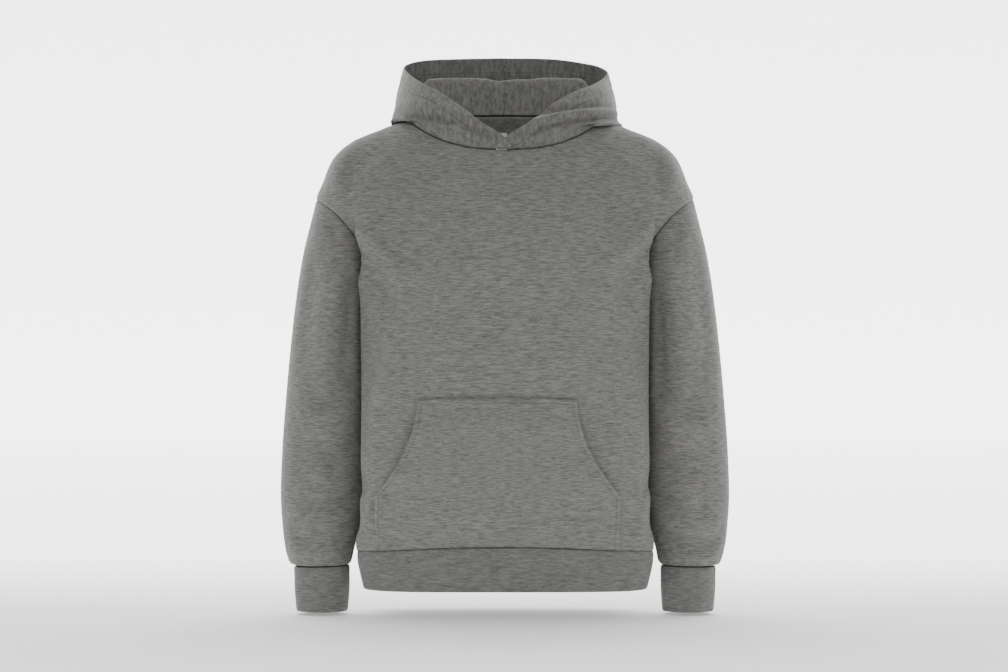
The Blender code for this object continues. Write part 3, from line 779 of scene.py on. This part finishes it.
for hand, wearer_side in ((-1, "right"), (1, "left")):
    piece, order, share_x, share_z = laid_out(f"{wearer_side}_hood", 170, 110)
    along = share_x[0] if hand > 0 else 1 - share_x[0]
    points = hood_half(mix(*HOOD_ENDS, along), share_z[:, 0], CROSSING[hand])
    ends = along == 1
    points[:, ends, 0] = 0
    if hand > 0:
        droop = smooth(60, 150, points[..., 0])
        points[..., 2] -= LEFT_DROOP[0] * droop * smooth(0.2, 0.6, share_z)
        points[..., 0] += LEFT_DROOP[1] * droop * smooth(0.1, 0.4, share_z)
    points[..., 0] *= hand
    _, _, low, high = from_edges(points)
    lift = folds(points[..., 0], points[..., 2], HOOD_FOLDS[hand])
    lift *= (1 - smooth(20, 60, points[..., 1])) * smooth(0.42, 0.5, share_z)
    lift *= smooth(0, 12, low)
    from_middle = np.abs(points[..., 0])
    behind = smooth(60, 90, points[..., 1])
    lift += 1.5 * ripple(from_middle, 47, 1.3 + hand) * behind * smooth(0, 20, low)
    lift -= 1.0 * np.exp(-((from_middle / 2.5) ** 2)) * behind
    lift += 0.8 * smooth(HOOD_HEM + 1.5, HOOD_HEM - 1.5, high)
    lift -= 0.8 * np.exp(-(((high - HOOD_HEM) / 1.8) ** 2)) + 0.8 * np.exp(-((high / 2) ** 2))
    lift += sewn(low)
    hood = make_cloth(piece, order, raised(points, lift), jersey_hood, stitch=high - HOOD_HEM)
    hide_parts(f"hood_{wearer_side}")

# --- neck label -------------------------------------------------------------------------------
# A small blank woven label, sewn at its top inside the back neck.

LABEL_MIDDLE_X = -5.0
LABEL_TOP_Z = -7.0
LABEL_SIZE = (16, 25)  # wide and long
LABEL_STAND = 4.4  # from the back's outer face
LABEL_CLOTH = 0.6
label_white = bpy.data.materials.new("label_white")
label_white.use_nodes = True
surface = label_white.node_tree.nodes["Principled BSDF"]
surface.inputs["Base Color"].default_value = (0.86, 0.85, 0.83, 1)
surface.inputs["Roughness"].default_value = 0.7

piece, order, share_x, share_z = laid_out("label", 16, 24)
x = LABEL_MIDDLE_X + LABEL_SIZE[0] * (share_x - 0.5)
z = LABEL_TOP_Z - LABEL_SIZE[1] * (1 - share_z)
y = depth(x, z, 1) - LABEL_STAND - 1.2 * np.sin(math.pi * (1 - share_z)) * (share_x - 0.3)
label = make_cloth(piece, order, np.stack([x, y, z], -1), label_white, thickness=LABEL_CLOTH)
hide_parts("neck_label")

# --- floor, light and camera ------------------------------------------------------------------
# A white sweep just under the cuffs, a large soft light ahead and above, and a weaker one beside.

FLOOR_Z = -0.6965
FLOOR_GLOW_Y = (-2.65, -1.7)  # on the floor's own centre
bpy.ops.mesh.primitive_plane_add(size=7, location=(0, 2.7, FLOOR_Z))
floor = bpy.context.object
floor.scale[0] = 3
floor.name = "floor"
white = bpy.data.materials.new("white_floor")
white.use_nodes = True
surface = white.node_tree.nodes["Principled BSDF"]
surface.inputs["Base Color"].default_value = (0.93, 0.93, 0.93, 1)
surface.inputs["Roughness"].default_value = 1
surface.inputs["Specular IOR Level"].default_value = 0
surface.inputs["Emission Color"].default_value = (1, 1, 1, 1)
surface.inputs["Emission Strength"].default_value = 1
floor.data.materials.append(white)
nodes, links = white.node_tree.nodes, white.node_tree.links
place = nodes.new("ShaderNodeTexCoord").outputs["Object"]
parts = nodes.new("ShaderNodeSeparateXYZ")
floor_glow = nodes.new("ShaderNodeMapRange")  # painted light: the sweep glows brighter behind the object than in front of it
for socket, value in zip(floor_glow.inputs[1:5], (FLOOR_GLOW_Y[0], FLOOR_GLOW_Y[1], 0.3, 2.5)):
    socket.default_value = value
links.new(place, parts.inputs["Vector"])
links.new(parts.outputs["Y"], floor_glow.inputs["Value"])
links.new(floor_glow.outputs["Result"], surface.inputs["Emission Strength"])
bpy.ops.mesh.primitive_plane_add(size=40, location=(0, 6.1, 0), rotation=(math.pi / 2, 0, 0))
backdrop = bpy.context.object
backdrop.name = "backdrop"
glow = bpy.data.materials.new("white_backdrop")
glow.use_nodes = True
surface = glow.node_tree.nodes["Principled BSDF"]
surface.inputs["Base Color"].default_value = (0.93, 0.93, 0.93, 1)
surface.inputs["Emission Color"].default_value = (1, 1, 1, 1)
surface.inputs["Emission Strength"].default_value = 2.8
backdrop.data.materials.append(glow)

world = bpy.data.worlds.new("studio")
world.use_nodes = True
world.node_tree.nodes["Background"].inputs["Color"].default_value = (1, 1, 1, 1)
world.node_tree.nodes["Background"].inputs["Strength"].default_value = 0.5
bpy.context.scene.world = world


def soft_light(name, place, aim, size, power):
    """A square soft box at place, turned to face aim."""
    lamp = bpy.data.lights.new(name, "AREA")
    lamp.shape = "SQUARE"
    lamp.size = size
    lamp.energy = power
    holder = bpy.data.objects.new(name, lamp)
    bpy.context.scene.collection.objects.link(holder)
    holder.location = place
    way = np.array(aim, float) - np.array(place, float)
    flat = math.hypot(way[0], way[1])
    holder.rotation_euler = (math.atan2(flat, -way[2]), 0, math.atan2(-way[0], way[1]))


soft_light("key", (-0.4, -3.3, 1.2), (0, 0, -0.2), 2.0, 36)
soft_light("fill", (1.4, -3.0, 0.3), (0, 0, -0.3), 1.8, 10)

camera_data = bpy.data.cameras.new("camera")
camera_data.sensor_width = 36
camera_data.lens = 90.5
camera = bpy.data.objects.new("camera", camera_data)
camera.location = (-0.0014, -3.6, -0.301)
camera.rotation_euler = (math.radians(90), 0, 0)
bpy.context.scene.collection.objects.link(camera)
bpy.context.scene.camera = camera
